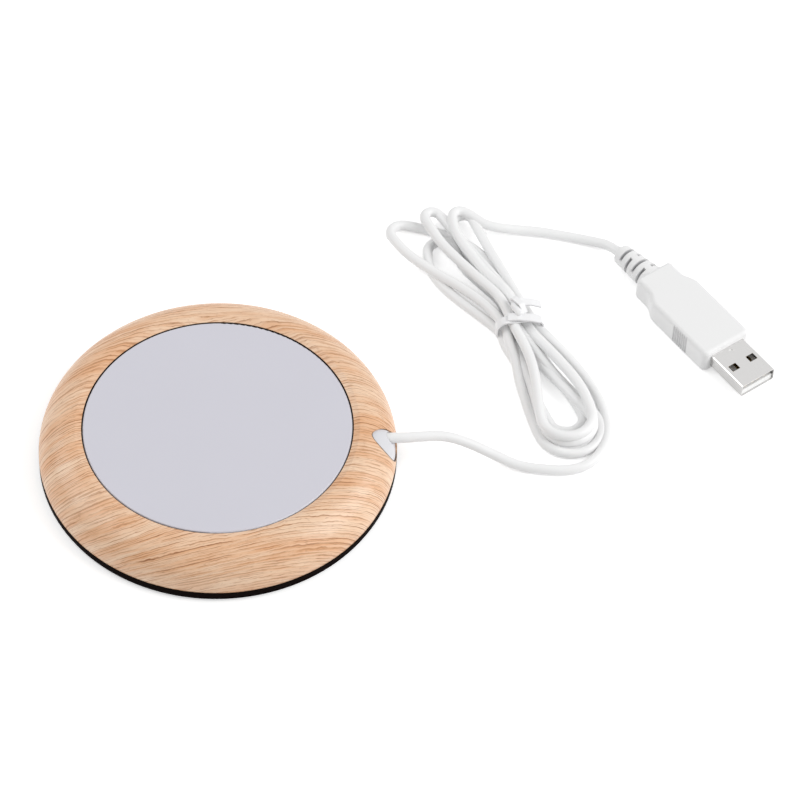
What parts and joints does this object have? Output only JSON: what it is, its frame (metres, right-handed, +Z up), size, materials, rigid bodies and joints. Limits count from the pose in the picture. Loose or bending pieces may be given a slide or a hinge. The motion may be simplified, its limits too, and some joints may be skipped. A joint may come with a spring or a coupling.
{
  "type": "mug warmer",
  "caption": "Round electric warming plate in a wood-effect ring on a dark base, with a tied hank of white cord and a USB-A plug.",
  "frame": {"origin": "centre of the round body on the surface it stands on, midway across the non-slip pad's underside", "axes": "+Z up out of the warming plate, +X from the body's centre through the cord outlet, +Y away from the front"},
  "size_m": [0.2066, 0.1453, 0.0149],
  "materials": {
    "wood_effect_ring": "satin printed wood grain on plastic",
    "dark_base": "matte black",
    "dark_rubber": "matte black",
    "coated_plate": "smooth satin light grey",
    "insulating_film": "translucent amber film",
    "resistance_foil": "etched foil",
    "insulating_board": "pressed fibre board",
    "pale_moulding": "moulded",
    "cutout_case": "moulded black",
    "screw_steel": "zinc plated",
    "white_rubber": "soft satin white",
    "white_cord": "smooth soft PVC",
    "dark_wire": "black PVC",
    "red_wire": "red PVC",
    "splice_sleeve": "shrunk sleeve",
    "tie_strip": "plastic-covered wire strip",
    "plated_shell": "bright nickel plate",
    "white_tongue": "moulded white",
    "contact_brass": "gold flashed"
  },
  "bodies": {
    "root": {"ring_housing": "wood_effect_ring", "base_cover": "dark_base", "non_slip_pad": "dark_rubber", "heating_plate": "coated_plate", "heater_film": "insulating_film", "heater_track": "resistance_foil", "insulation_disc": "insulating_board", "plate_retainer": "pale_moulding", "thermal_cutout": "cutout_case", "base_screws": "screw_steel", "retainer_screws": "screw_steel", "clamp_screws": "screw_steel", "cord_grommet": "white_rubber", "cord_clamp": "pale_moulding", "inner_cord": "white_cord", "return_wire": "dark_wire", "live_wire": "red_wire", "link_wire": "red_wire", "wire_splices": "splice_sleeve", "cord_lead": "white_cord", "cord_hank": "white_cord", "cord_tail": "white_cord", "twist_tie": "tie_strip", "usb_overmold": "white_rubber", "usb_shell": "plated_shell", "usb_tongue": "white_tongue", "usb_contacts": "contact_brass"}
  },
  "joints": []
}
